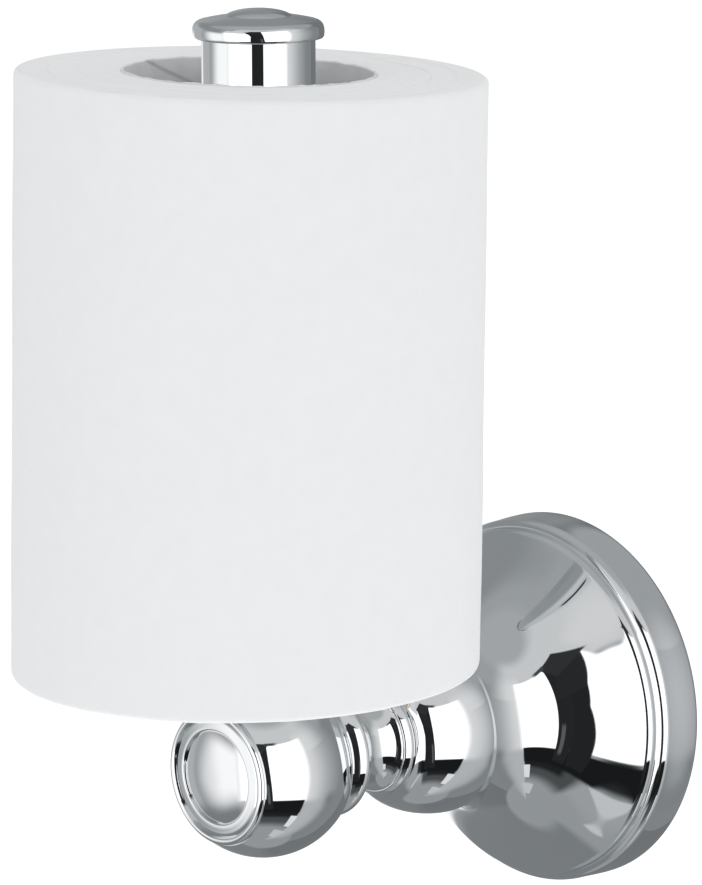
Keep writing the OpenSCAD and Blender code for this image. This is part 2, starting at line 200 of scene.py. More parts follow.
class Layout:
    """Places along the arm and up the post, in millimetres, worked out from the sizes."""

    FIT = 0.1
    SHANK = 0.3
    BACK_ROUND = 1.2
    WAIST_BACK = 16.65
    NECK_SOLID = 21
    NUT_FLATS, NUT_FREE = 13, 3.71
    HEAD_BACK = 6
    HUB_SINK = 0.5
    ROLL_GAP = 0.2

    def __init__(self, sizes, roll):
        self.flange_r = mm(sizes.flange_d) / 2
        self.ball_r = mm(sizes.ball_d) / 2
        self.post_r = mm(sizes.post_d) / 2
        self.bolt_r = 4.0
        self.hole_r = self.bolt_r + self.SHANK
        self.register_r = 6.0
        self.register_len = 1.5
        self.reach = mm(sizes.reach)
        self.bead_r = mm(sizes.bead_d) / 2
        ball_back_r = self.bead_r + 0.1
        self.ball_back = self.reach - math.sqrt(self.ball_r ** 2 - ball_back_r ** 2)
        self.collar_front = self.ball_back - mm(sizes.bead_w)
        self.neck_mouth = self.collar_front - mm(sizes.collar_len)
        self.waist = (mm(sizes.waist_d) / 2, self.neck_mouth - self.WAIST_BACK)
        self.ball_front_r = mm(sizes.end_cap_d) / 2 + 0.15
        self.ball_front = self.reach + math.sqrt(self.ball_r ** 2 - self.ball_front_r ** 2)
        self.head_seat = self.reach - self.HEAD_BACK
        self.head_room_r = 7.0
        self.plug_r = 9.5
        self.plug_len = 4.0
        self.plug_room = self.ball_front - self.plug_len - 0.2
        self.nut_seat = self.neck_mouth - self.NECK_SOLID
        self.nut_room_r = self.NUT_FLATS / math.sqrt(3) + self.NUT_FREE
        self.plate_bore_r = self.flange_r - mm(sizes.flange_wall)
        self.socket_depth = 6.5
        self.grub_y = 3.4
        self.grub_r = 2.5
        self.hub_seat = math.sqrt(self.ball_r ** 2 - self.post_r ** 2) - self.HUB_SINK
        self.disc_under = self.ball_r + 0.1
        self.disc_top = self.disc_under + mm(sizes.disc_h)
        self.tube_bore_r = self.post_r - mm(sizes.post_wall)
        self.roll_foot = self.disc_top + self.ROLL_GAP
        self.core_r = mm(roll.core_bore) / 2 + mm(roll.core_wall)


def bell_foot(sizes, at):
    """Where the bell leaves the rim's bead."""
    return (at.flange_r - 2.5, mm(sizes.bell_start) + 0.4)


def rim_outline(sizes, at):
    """The rim from the wall to the bell: outer band, broad rounded edge, step and broad bead."""
    band_r, band_end = at.flange_r - mm(sizes.rim_band_taper), mm(sizes.rim_band_depth)
    back_round, edge_round, bead_round = at.BACK_ROUND, 1.9, 1.8
    edge_turn, bead_turn = 68, 53
    edge = arc((band_r - edge_round, band_end), edge_round, 0, edge_turn, 24)
    edge_end = edge[-1]
    turn = math.radians(bead_turn)
    bead_c = shifted(bell_foot(sizes, at), -bead_round * math.cos(turn), -bead_round * math.sin(turn))
    step_r = bead_c[0] + bead_round
    return (
        arc((at.flange_r - back_round, back_round), back_round, -90, 0, 10)
        + curve((at.flange_r, back_round), (at.flange_r + 0.05, 3.4), (band_r + 0.05, 5.6),
                (band_r, band_end), 22)[1:]
        + edge[1:]
        + curve(shifted(edge_end, -0.05, 0.02), (step_r + 0.05, edge_end[1] + 0.05),
                (step_r, edge_end[1] + 0.15), (step_r, bead_c[1] - 0.1), 6)
        + arc(bead_c, bead_round, 0, bead_turn, 20)
    )


def bell_outline(sizes, at):
    """The bell, which sweeps in from the rim to the waist."""
    foot, waist = bell_foot(sizes, at), at.waist
    span, rise = waist[1] - foot[1], foot[0] - waist[0]
    return curve(foot, shifted(foot, -0.481 * rise, 0.25 * span),
                 shifted(waist, -0.093 * rise, -0.524 * span), waist, 84)


def bulb_outline(sizes, at):
    """The bulb from the waist to the groove behind the lip."""
    front = (mm(sizes.bulb_front_d) / 2, at.neck_mouth - 2.3)
    return curve(at.waist, shifted(at.waist, 0.36, 2.9), shifted(front, 5.3, -1.67), front, 60)[1:]


def lip_outline(sizes, at):
    """The lip: a groove behind it, a nearly straight side that leans in, and a rounded front corner."""
    lip_r, mouth = mm(sizes.lip_d) / 2, at.neck_mouth
    side_end = (lip_r - 0.2, mouth - 0.75)
    return (curve((lip_r - 0.2, mouth - 2.28), (lip_r + 0.08, mouth - 2.1),
                  (lip_r + 0.1, mouth - 1.2), side_end, 14)
            + curve(side_end, shifted(side_end, -0.2, 0.34),
                    (lip_r - 0.6, mouth), (lip_r - 0.95, mouth), 14)[1:])


def flange_profile(sizes, at):
    """Closed outline: up the outside from the wall, in at the mouth, and back through the hollow."""
    seat_r, seat_end = at.register_r + at.FIT, at.neck_mouth - at.register_len - at.FIT
    outside = (rim_outline(sizes, at) + bell_outline(sizes, at) + bulb_outline(sizes, at)
               + lip_outline(sizes, at))
    mouth = [(seat_r, at.neck_mouth), (seat_r, seat_end), (at.hole_r, seat_end), (at.hole_r, at.nut_seat)]
    start = (at.plate_bore_r - 2.6, mm(sizes.bell_start) - 2.2)
    hollow = curve((at.nut_room_r, at.nut_seat), (at.nut_room_r + 2.2, at.nut_seat - 9),
                   (start[0] - 3.6, start[1] + 5.8), start, 40)
    back = [(start[0], at.socket_depth), (at.plate_bore_r, at.socket_depth), (at.plate_bore_r, 0),
            (at.flange_r - at.BACK_ROUND, 0)]
    return split(outside, 0.45) + mouth + hollow + back


def collar_profile(sizes, at):
    """The spool-shaped collar, with a spigot at each end."""
    end_r, waist_r = mm(sizes.collar_end_d) / 2, mm(sizes.collar_waist_d) / 2
    mouth, front = at.neck_mouth, at.collar_front
    middle = mouth + 5.0
    outside = ([(end_r - 0.3, mouth)]
               + curve((end_r - 0.2, mouth + 0.05), (end_r - 1.15, mouth + 0.7),
                       (waist_r, mouth + 2.65), (waist_r, middle), 46)
               + curve((waist_r, middle), (waist_r, front - 3.0), (end_r - 1.1, front - 1.0),
                       (end_r - 0.25, front - 0.35), 40)[1:]
               + arc((end_r - 0.45, front - 0.25), 0.25, 30, 90, 6))
    return ([(at.hole_r, mouth - at.register_len), (at.register_r, mouth - at.register_len),
             (at.register_r, mouth)] + split(outside, 0.3)
            + [(at.register_r, front), (at.register_r, front + at.register_len),
               (at.hole_r, front + at.register_len), (at.hole_r, mouth - at.register_len)])


def bead_profile(sizes, at):
    """The bead ring: a quarter round at the collar, then a slope down to the ball."""
    front, back, bead_r, ring_round = at.collar_front, at.ball_back, at.bead_r, 1.2
    recess, seat_r = front + at.register_len + at.FIT, at.register_r + at.FIT
    slope = (bead_r - 1.1, front + 3.3)
    outside = (arc((bead_r - ring_round, front + ring_round), ring_round, -90, 0, 30)
               + curve((bead_r, front + ring_round), (bead_r, front + 2.1),
                       (bead_r - 0.55, front + 2.75), slope, 26)[1:]
               + curve(slope, (bead_r - 1.5, front + 3.7),
                       (bead_r - 1.8, front + 4.1), (bead_r - 1.9, back), 20)[1:])
    return ([(at.hole_r, recess), (seat_r, recess), (seat_r, front)] + split(outside, 0.3)
            + [(at.register_r, back), (at.register_r, back + at.register_len),
               (at.hole_r, back + at.register_len), (at.hole_r, recess)])


def ball_profile(sizes, at):
    """The ball between its two flats, with its stepped bore."""
    back_a = math.degrees(math.acos((at.reach - at.ball_back) / at.ball_r))
    front_a = math.degrees(math.acos((at.ball_front - at.reach) / at.ball_r))
    outside = arc((0, at.reach), at.ball_r, -90 + back_a, 90 - front_a, 110)
    plug_r, seat_r = at.plug_r + at.FIT, at.register_r + at.FIT
    seat_end = at.ball_back + at.register_len + at.FIT
    return ([(seat_r, at.ball_back)] + outside
            + [(plug_r, at.ball_front), (plug_r, at.plug_room), (at.head_room_r, at.plug_room),
               (at.head_room_r, at.head_seat), (at.hole_r, at.head_seat), (at.hole_r, seat_end),
               (seat_r, seat_end), (seat_r, at.ball_back)])


def cover_profile(sizes, at):
    """The cover on the ball: plug with its seal groove, rim bead, sloping ring and a sunk low dome."""
    rim_round, sink = 0.8, 0.45
    cover_r, dome_r = mm(sizes.end_cap_d) / 2, mm(sizes.dome_d) / 2
    rim_c = (cover_r - rim_round, at.ball_front + 0.3)
    ring_r, ring_out = rim_c[0] - rim_round, at.ball_front + 0.95
    dome_foot, top = ring_out - sink, ring_out + mm(sizes.dome_h)
    plug_r, back = at.plug_r, at.ball_front - at.plug_len
    groove, groove_w, groove_r = back + 1.2, 1.6, plug_r - 1.2
    ring_slope, ring_in = (ring_r - 0.7, ring_out - 0.17), (dome_r + 0.35, ring_out)
    hollow_r, hollow_end = plug_r - 2.4, at.ball_front - 1.4
    face = (arc(rim_c, rim_round, 0, 125, 30)
            + curve((ring_r + 0.2, ring_out - 0.45), (ring_r, ring_out - 0.42),
                    (ring_r - 0.2, ring_out - 0.25), ring_slope, 10)
            + curve(ring_slope, (ring_r - 1.2, ring_out - 0.1), (dome_r + 0.8, ring_out), ring_in, 10)[1:]
            + curve(ring_in, (dome_r + 0.15, ring_out),
                    (dome_r, ring_out - 0.15), (dome_r, dome_foot), 12)[1:]
            + curve((dome_r - 0.1, dome_foot), (dome_r * 0.66, top - 0.18),
                    (dome_r * 0.34, top), (0, top), 40))
    return ([(0, hollow_end), (hollow_r, hollow_end), (hollow_r, back),
             (plug_r - 0.3, back), (plug_r, back + 0.3), (plug_r, groove), (groove_r, groove),
             (groove_r, groove + groove_w), (plug_r, groove + groove_w), (plug_r, at.ball_front),
             (cover_r - 0.1, at.ball_front)] + split(face, 0.3))


def disc_profile(sizes, at):
    """The disc with its hub and its fully rounded edge."""
    disc_r, edge, bore = mm(sizes.disc_d) / 2, mm(sizes.disc_h) / 2, at.bolt_r + at.FIT
    return ([(bore, at.hub_seat), (at.post_r, at.hub_seat), (at.post_r, at.disc_under),
             (at.post_r + 0.4, at.disc_under)]
            + arc((disc_r - edge, at.disc_under + edge), edge, -90, 90, 24)
            + [(bore, at.disc_top), (bore, at.hub_seat)])


def tube_profile(sizes, at):
    """The post's tube, its outer edges eased."""
    top, ease = mm(sizes.post_top), 0.15
    return [(at.tube_bore_r, at.disc_top), (at.post_r - ease, at.disc_top), (at.post_r, at.disc_top + ease),
            (at.post_r, top - ease), (at.post_r - ease, top), (at.tube_bore_r, top),
            (at.tube_bore_r, at.disc_top)]


def post_cap_profile(sizes, at):
    """The post's cap: stud, centring spigot, rounded rim and a low round button."""
    top, cap_r, rim_h = mm(sizes.post_top), mm(sizes.cap_d) / 2, mm(sizes.cap_rim_h)
    rim_foot, widest = (cap_r - 0.4, top), (cap_r, top + 0.34 * rim_h)
    shoulder = (cap_r - 1.5, top + 0.98 * rim_h)
    button_r, crown = mm(sizes.cap_button_d) / 2, top + rim_h + mm(sizes.cap_button_h)
    foot = (button_r, top + rim_h + 0.67)
    spigot_r, spigot_len, stud_r, stud_len = at.tube_bore_r - at.FIT, 2.8, 3.0, 11.8
    spigot, stud = top - spigot_len, top - stud_len
    face = (curve(rim_foot, shifted(rim_foot, 0.3, 0), shifted(widest, 0, -0.6), widest, 16)
            + curve(widest, shifted(widest, 0, 1.1), shifted(shoulder, 1.1, -0.2), shoulder, 28)[1:]
            + curve(shoulder, shifted(shoulder, -1.3, 0.3), shifted(foot, 1.2, -0.12), foot, 24)[1:]
            + curve(foot, shifted(foot, -1, 0.85), (button_r * 0.42, crown), (0, crown), 40)[1:])
    return ([(0, stud), (stud_r - 0.5, stud), (stud_r, stud + 0.5), (stud_r, spigot),
             (spigot_r - 0.3, spigot), (spigot_r, spigot + 0.3), (spigot_r, top)] + split(face, 0.3))


# Node trees

class Nodes:
    """Short ways to add and join the nodes of one tree."""

    def __init__(self, tree):
        self.tree = tree

    def feed(self, socket, value):
        if isinstance(value, bpy.types.NodeSocket):
            self.tree.links.new(value, socket)
        else:
            socket.default_value = value

    def add(self, kind, feeds=None, **settings):
        node = self.tree.nodes.new(kind)
        for key, value in settings.items():
            setattr(node, key, value)
        for key, value in (feeds or {}).items():
            self.feed(node.inputs[key], value)
        return node

    def maths(self, operation, *values):
        node = self.add("ShaderNodeMath", operation=operation)
        for socket, value in zip(node.inputs, values):
            self.feed(socket, value)
        return node.outputs[0]

    def parts(self, vector):
        return self.add("ShaderNodeSeparateXYZ", {0: vector}).outputs

    def join(self, x, y, z):
        return self.add("ShaderNodeCombineXYZ", {0: x, 1: y, 2: z}).outputs[0]

    def step(self, value, low, high):
        """A smooth step from none to full between two places of a value."""
        feeds = {"Value": value, "From Min": low, "From Max": high}
        return self.add("ShaderNodeMapRange", feeds, interpolation_type="SMOOTHSTEP").outputs["Result"]

    def noise(self, vector, scale, detail=2.0, roughness=0.5):
        feeds = {"Vector": vector, "Scale": scale, "Detail": detail, "Roughness": roughness}
        return self.add("ShaderNodeTexNoise", feeds).outputs[0]

    def blend(self, share_of_b, a, b):
        return self.add("ShaderNodeMix", {0: share_of_b, 2: a, 3: b}, data_type="FLOAT").outputs[0]

    def tint(self, share_of_b, a, b):
        return self.add("ShaderNodeMix", {0: share_of_b, 6: a, 7: b}, data_type="RGBA").outputs[2]

    def bump(self, height, distance, strength=1.0):
        feeds = {"Height": height, "Distance": distance, "Strength": strength}
        return self.add("ShaderNodeBump", feeds).outputs[0]

    def group(self, tree, **feeds):
        node = self.add("ShaderNodeGroup", node_tree=tree)
        for key, value in feeds.items():
            self.feed(node.inputs[key.replace("_", " ")], value)
        return node.outputs

    def position(self):
        return self.add("ShaderNodeTexCoord").outputs["Object"]


# Meshes

def turned_tree():
    """Geometry nodes that turn a half profile, given as a row of points, round its axis."""
    tree = bpy.data.node_groups.get("Turned piece")
    if tree:
        return tree
    tree = bpy.data.node_groups.new("Turned piece", "GeometryNodeTree")
    face = tree.interface
    face.new_socket("Profile", in_out="INPUT", socket_type="NodeSocketGeometry")
    defaults = (("Segments", "NodeSocketInt", SEGMENTS), ("Axis Place", "NodeSocketVector", (0, 0, 0)),
                ("Upright", "NodeSocketBool", False), ("Weld", "NodeSocketFloat", 1e-6),
                ("Crease Angle", "NodeSocketFloat", CREASE))
    for name, kind, value in defaults:
        face.new_socket(name, in_out="INPUT", socket_type=kind).default_value = value
    face.new_socket("Material", in_out="INPUT", socket_type="NodeSocketMaterial")
    face.new_socket("Piece", in_out="OUTPUT", socket_type="NodeSocketGeometry")

    n = Nodes(tree)
    given = n.add("NodeGroupInput").outputs
    count = n.add("GeometryNodeAttributeDomainSize", {"Geometry": given["Profile"]}, component="MESH")
    points = count.outputs["Point Count"]
    grid = n.add("GeometryNodeMeshGrid",
                 {"Vertices X": n.maths("ADD", given["Segments"], 1), "Vertices Y": points})
    place = n.add("GeometryNodeInputPosition").outputs[0]
    column, row, _ = n.parts(place)
    angle = n.maths("MULTIPLY", n.maths("ADD", column, 0.5), TAU)
    index = n.maths("ROUND", n.maths("MULTIPLY", n.maths("ADD", row, 0.5), n.maths("SUBTRACT", points, 1)))
    sample = n.add("GeometryNodeSampleIndex", {"Geometry": given["Profile"], "Value": place, "Index": index},
                   data_type="FLOAT_VECTOR", domain="POINT")
    radius, along, _ = n.parts(sample.outputs["Value"])
    across = n.maths("MULTIPLY", radius, n.maths("COSINE", angle))
    third = n.maths("MULTIPLY", radius, n.maths("SINE", angle))
    lying = n.join(across, n.maths("MULTIPLY", along, -1.0), third)
    standing = n.join(across, third, along)
    chosen = n.add("GeometryNodeSwitch", {"Switch": given["Upright"], "False": lying, "True": standing},
                   input_type="VECTOR").outputs[0]
    moved = n.add("ShaderNodeVectorMath", {0: chosen, 1: given["Axis Place"]}, operation="ADD").outputs[0]
    bent = n.add("GeometryNodeSetPosition", {"Geometry": grid.outputs["Mesh"], "Position": moved}).outputs[0]
    welded = n.add("GeometryNodeMergeByDistance", {"Geometry": bent, "Distance": given["Weld"]}).outputs[0]
    smooth = n.add("GeometryNodeSetShadeSmooth", {"Geometry": welded}, domain="FACE").outputs[0]
    turn = n.add("GeometryNodeInputMeshEdgeAngle").outputs["Unsigned Angle"]
    hard = n.add("FunctionNodeCompare", {"A": turn, "B": given["Crease Angle"]},
                 data_type="FLOAT", operation="GREATER_THAN").outputs[0]
    creased = n.add("GeometryNodeSetShadeSmooth",
                    {"Geometry": smooth, "Selection": hard, "Shade Smooth": False}, domain="EDGE").outputs[0]
    whole = n.add("GeometryNodeRealizeInstances", {0: creased}).outputs[0]
    painted = n.add("GeometryNodeSetMaterial", {"Geometry": whole, "Material": given["Material"]}).outputs[0]
    n.add("NodeGroupOutput", {0: painted})
    return tree


def set_input(modifier, name, value):
    """Sets a modifier's input by the identifier of the socket with that name."""
    for item in modifier.node_group.interface.items_tree:
        if item.item_type == "SOCKET" and item.in_out == "INPUT" and item.name == name:
            modifier[item.identifier] = value
            return
    raise RuntimeError(f"the node tree has no input named {name}")


def new_object(name, mesh):
    piece = bpy.data.objects.new(name, mesh)
    bpy.context.scene.collection.objects.link(piece)
    return piece


def settled(piece):
    """Turns what the piece's modifiers make into its plain mesh, and removes them."""
    graph = bpy.context.evaluated_depsgraph_get()
    made = bpy.data.meshes.new_from_object(piece.evaluated_get(graph))
    old, name = piece.data, piece.name
    piece.modifiers.clear()
    piece.data = made
    made.name = name
    bpy.data.meshes.remove(old)
    return piece


def turned(name, profile, material, place=(0, 0, 0), upright=False, segments=SEGMENTS):
    """A piece turned from a half profile in millimetres. place is a point of its axis in metres."""
    row = bpy.data.meshes.new(name)
    points = [(r * MM, d * MM, 0.0) for r, d in profile]
    row.from_pydata(points, [(i, i + 1) for i in range(len(points) - 1)], [])
    piece = new_object(name, row)
    modifier = piece.modifiers.new("Turned", "NODES")
    modifier.node_group = turned_tree()
    set_input(modifier, "Segments", segments)
    set_input(modifier, "Axis Place", place)
    set_input(modifier, "Upright", upright)
    set_input(modifier, "Material", material)
    return settled(piece)


def crease(piece):
    """Smooth shading with hard edges where the faces turn by more than the crease angle."""
    shape = bmesh.new()
    shape.from_mesh(piece.data)
    for face in shape.faces:
        face.smooth = True
    for edge in shape.edges:
        edge.smooth = edge.calc_face_angle(0.0) < CREASE
    shape.to_mesh(piece.data)
    shape.free()


def cut(piece, *cutters):
    """Cuts the cutters' shapes out of the piece and removes them."""
    for cutter in cutters:
        modifier = piece.modifiers.new("Cut", "BOOLEAN")
        modifier.operation = "DIFFERENCE"
        modifier.solver = "EXACT"
        modifier.object = cutter
        settled(piece)
        mesh = cutter.data
        bpy.data.objects.remove(cutter)
        bpy.data.meshes.remove(mesh)
    crease(piece)


def rod(name, radius, start, end, place, upright=True):
    """A plain round cutter."""
    return turned(name, [(0, start), (radius, start), (radius, end), (0, end)], None, place, upright,
                  SEGMENTS // 2)


def finish_piece(piece, body, slot, *nodes, mirrored=True):
    """Puts a finished piece on its body. The chrome shows no image of a piece that isn't mirrored."""
    piece.visible_glossy = mirrored
    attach(piece, body)
    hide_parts(*nodes)


# Shared shader groups

def shader_group(name, inputs, outputs, build):
    """A shared shader node group. build takes the nodes and the group's inputs and gives its outputs."""
    tree = bpy.data.node_groups.get(name)
    if tree:
        return tree
    tree = bpy.data.node_groups.new(name, "ShaderNodeTree")
    for label, kind, value in inputs:
        socket = tree.interface.new_socket(label, in_out="INPUT", socket_type="NodeSocket" + kind)
        if value is not None:
            socket.default_value = value
    for label, kind in outputs:
        tree.interface.new_socket(label, in_out="OUTPUT", socket_type="NodeSocket" + kind)
    nodes = Nodes(tree)
    given = nodes.add("NodeGroupInput").outputs
    ends = nodes.add("NodeGroupOutput").inputs
    for socket, value in zip(ends, build(nodes, given)):
        nodes.feed(socket, value)
    return tree


def smudge_group():
    """Faint wiped patches and pin-sized specks on a polished surface."""
    def build(n, given):
        broad = n.noise(given["Position"], 38.0, 3.0, 0.6)
        drawn = n.add("ShaderNodeMapping", {0: given["Position"], 3: (60, 60, 420)}).outputs[0]
        streak = n.noise(drawn, 1.0, 3.0, 0.65)
        patch = n.maths("MULTIPLY", n.step(broad, 0.46, 0.72), n.step(streak, 0.35, 0.75))
        cells = n.add("ShaderNodeTexVoronoi", {"Vector": given["Position"], "Scale": 190.0})
        speck = n.step(cells.outputs["Distance"], 0.055, 0.03)
        rare = n.step(n.parts(cells.outputs["Color"])[0], 0.955, 0.96)
        return patch, n.maths("MULTIPLY", speck, rare)
    return shader_group("Smudges", [("Position", "Vector", None)],
                        [("Patch", "Float"), ("Speck", "Float")], build)


def round_group():
    """Turns a place into the way round an upright axis, the distance from it and the height."""
    def build(n, given):
        away = n.add("ShaderNodeVectorMath", {0: given["Position"], 1: given["Axis"]}, operation="SUBTRACT")
        x, y, z = n.parts(away.outputs[0])
        angle = n.maths("ARCTAN2", y, x)
        radius = n.maths("SQRT", n.maths("ADD", n.maths("MULTIPLY", x, x), n.maths("MULTIPLY", y, y)))
        return angle, radius, z
    return shader_group("Round an axis", [("Position", "Vector", None), ("Axis", "Vector", None)],
                        [("Angle", "Float"), ("Radius", "Float"), ("Height", "Float")], build)


def fibre_group():
    """Matted paper fibres: fine relief, soft clouds and a few specks."""
    def build(n, given):
        place = given["Position"]
        fine = n.noise(place, given["Fineness"], 4.0, 0.62)
        twist = (0.004, 0.004, 0.004)
        twisted = n.add("ShaderNodeVectorMath", {0: place, 1: n.join(fine, fine, fine), 2: twist},
                        operation="MULTIPLY_ADD").outputs[0]
        net = n.maths("MULTIPLY", given["Fineness"], 0.5)
        strands = n.add("ShaderNodeTexVoronoi", {"Vector": twisted, "Scale": net}, feature="DISTANCE_TO_EDGE")
        strand = n.step(strands.outputs["Distance"], 0.0, 0.16)
        cloud = n.noise(place, n.maths("MULTIPLY", given["Fineness"], 0.22), 3.0, 0.55)
        height = n.maths("ADD", n.maths("MULTIPLY", fine, 0.7), n.maths("MULTIPLY", strand, -0.3))
        cells = n.add("ShaderNodeTexVoronoi", {"Vector": place, "Scale": 260.0})
        speck = n.step(cells.outputs["Distance"], 0.09, 0.05)
        rare = n.step(n.parts(cells.outputs["Color"])[0], 0.972, 0.975)
        return height, cloud, n.maths("MULTIPLY", speck, rare)
    return shader_group("Paper fibres", [("Position", "Vector", None), ("Fineness", "Float", 1400.0)],
                        [("Height", "Float"), ("Cloud", "Float"), ("Speck", "Float")], build)


def lathe_group():
    """Fine rings that a turning tool leaves, on the end faces and along the sides."""
    def build(n, given):
        rings_per_m = 9000.0
        across, along = (n.maths("MULTIPLY", given[way], rings_per_m) for way in ("Radius", "Along"))
        rings = n.noise(n.join(across, along, 0.0), 1.0, 2.0, 0.7)
        worn = n.noise(given["Position"], 260.0, 3.0, 0.6)
        return rings, worn
    return shader_group("Turning marks",
                        [("Position", "Vector", None), ("Radius", "Float", 0.0), ("Along", "Float", 0.0)],
                        [("Rings", "Float"), ("Wear", "Float")], build)


PANEL_SIDES = ("Left", "Right", "Bottom", "Top")


def panel_group():
    """A soft-edged light panel, placed by azimuth and elevation in degrees. Lean slants its two sides."""
    labels = ("Azimuth", "Elevation", *PANEL_SIDES, *("Soft " + side.lower() for side in PANEL_SIDES), "Lean")

    def build(n, given):
        def edge(place, side, outwards):
            sharp = given[side]
            return n.step(place, n.maths(outwards, sharp, given["Soft " + side.lower()]), sharp)

        height = given["Elevation"]
        across = n.maths("SUBTRACT", given["Azimuth"], n.maths("MULTIPLY", given["Lean"], height))
        wide = n.maths("MULTIPLY", edge(across, "Left", "SUBTRACT"), edge(across, "Right", "ADD"))
        high = n.maths("MULTIPLY", edge(height, "Bottom", "SUBTRACT"), edge(height, "Top", "ADD"))
        return (n.maths("MULTIPLY", wide, high),)
    return shader_group("Light panel", [(label, "Float", 0.0) for label in labels], [("Mask", "Float")],
                        build)


# Materials

def material(name, build, **values):
    """The material of that name, made on first use. The values are set on the shader's own sockets."""
    made = bpy.data.materials.get(name)
    if made:
        return made
    made = bpy.data.materials.new(name)
    made.use_nodes = True
    shader = made.node_tree.nodes["Principled BSDF"]
    for key, value in values.items():
        socket = shader.inputs[key.replace("_", " ")]
        socket.default_value = (*value, 1.0) if socket.type == "RGBA" else value
    build(Nodes(made.node_tree), shader)
    return made


def shaded(colour_value, factor=1.0):
    """A shade of a colour, with its alpha."""
    return (*(min(1.0, c * factor) for c in colour_value), 1.0)


def chrome_material(finish):
    """Bright plate with faint smudges, pin-sized specks and a barely uneven surface."""
    def build(n, shader):
        place = n.position()
        smudges = n.group(smudge_group(), Position=place)
        dull = n.maths("MULTIPLY", smudges["Patch"], 0.05 * finish.smudge)
        specks = n.maths("MULTIPLY", smudges["Speck"], 0.3)
        n.feed(shader.inputs["Roughness"], n.maths("ADD", n.maths("ADD", dull, specks), 0.018))
        n.feed(shader.inputs["Normal"], n.bump(n.noise(place, 160.0, 2.0), 0.0000035, 1.0))
    return material("polished_chrome", build, Base_Color=tuple(finish.chrome), Metallic=1.0)


def turned_metal(name, colour_value, worn, axis, upright, roughness):
    """Turned metal, worn to a shade of its colour. axis is a point of the axis, which lies along the arm
    or stands upright."""
    def build(n, shader):
        place = path = n.position()
        if not upright:
            x, y, z = n.parts(place)
            path = n.join(x, z, y)
        turn = n.group(round_group(), Position=path, Axis=axis)
        marks = n.group(lathe_group(), Position=place, Radius=turn["Radius"], Along=turn["Height"])
        n.feed(shader.inputs["Base Color"],
               n.tint(marks["Wear"], shaded(colour_value), shaded(colour_value, worn)))
        n.feed(shader.inputs["Roughness"], n.maths("MULTIPLY_ADD", marks["Wear"], 0.22, roughness))
        n.feed(shader.inputs["Normal"], n.bump(marks["Rings"], 0.00002, 0.6))
    return material(name, build, Metallic=1.0)


def rubber_material(finish):
    def build(n, shader):
        place = n.position()
        n.feed(shader.inputs["Roughness"], n.maths("MULTIPLY_ADD", n.noise(place, 900.0, 3.0), 0.2, 0.45))
        n.feed(shader.inputs["Normal"], n.bump(n.noise(place, 2600.0, 3.0), 0.00003, 0.5))
    return material("seal_rubber_black", build, Base_Color=tuple(finish.rubber))


def paper_side_material(finish, axis):
    """Matted tissue on the roll's side, its fibres drawn out along the sheet."""
    def build(n, shader):
        turn = n.group(round_group(), Position=n.position(), Axis=axis)
        unrolled_r, stretch = 0.041, 0.8
        flat = n.join(n.maths("MULTIPLY", turn["Angle"], unrolled_r),
                      n.maths("MULTIPLY", turn["Height"], stretch), turn["Radius"])
        fibres = n.group(fibre_group(), Position=flat, Fineness=1500.0)
        cloud = n.step(fibres["Cloud"], 0.25, 0.75)
        base = n.tint(cloud, shaded(finish.paper, 0.99), shaded(finish.paper, 1.005))
        n.feed(shader.inputs["Base Color"], n.tint(fibres["Speck"], base, shaded(finish.paper, 0.72)))
        soft = n.noise(n.add("ShaderNodeMapping", {0: flat, 3: (90, 30, 1)}).outputs[0], 1.0, 2.0)
        height = n.maths("MULTIPLY_ADD", soft, 0.3, n.maths("MULTIPLY", fibres["Height"], 0.35))
        n.feed(shader.inputs["Normal"], n.bump(height, 0.00012, finish.grain))
    return material("tissue_side", build, Roughness=0.92, Specular_IOR_Level=0.2, Sheen_Weight=0.12,
                    Sheen_Roughness=0.6)


def paper_end_material(finish, roll, axis):
    """The wound layers' edges, which run in a spiral on the roll's ends. The gaps between the layers are
    darkened with painted shade, and each layer has its own random tone.
    """
    def build(n, shader):
        place = n.position()
        turn = n.group(round_group(), Position=place, Axis=axis)
        turns = n.maths("DIVIDE", turn["Angle"], TAU)
        wound = n.maths("SUBTRACT", n.maths("DIVIDE", turn["Radius"], roll.layer / 2), turns)
        phase = n.maths("FRACT", wound)
        layer = n.maths("FLOOR", wound)
        groove = n.maths("MULTIPLY", n.step(phase, 0.0, 0.25), n.step(phase, 1.0, 0.8))
        along = n.join(n.maths("ADD", layer, turns), layer, 0.0)
        own = n.noise(along, 3.1, 2.0)
        fibres = n.group(fibre_group(), Position=place, Fineness=1700.0)
        matted = n.maths("MULTIPLY", fibres["Height"], 0.5)
        height = n.maths("ADD", n.maths("MULTIPLY", groove, own), matted)
        # Painted shade: the colour darkens in the gaps between the wound layers, where groove falls to
        # nothing; own adds each layer's random tone.
        shade = n.maths("MULTIPLY_ADD", groove, 0.6, n.maths("MULTIPLY", own, 0.5))
        n.feed(shader.inputs["Base Color"],
               n.tint(n.step(shade, 0.1, 0.9), shaded(finish.paper, 0.9), shaded(finish.paper, 1.02)))
        n.feed(shader.inputs["Normal"], n.bump(height, 0.00012, finish.grain))
    return material("tissue_ends", build, Roughness=0.95, Specular_IOR_Level=0.15)


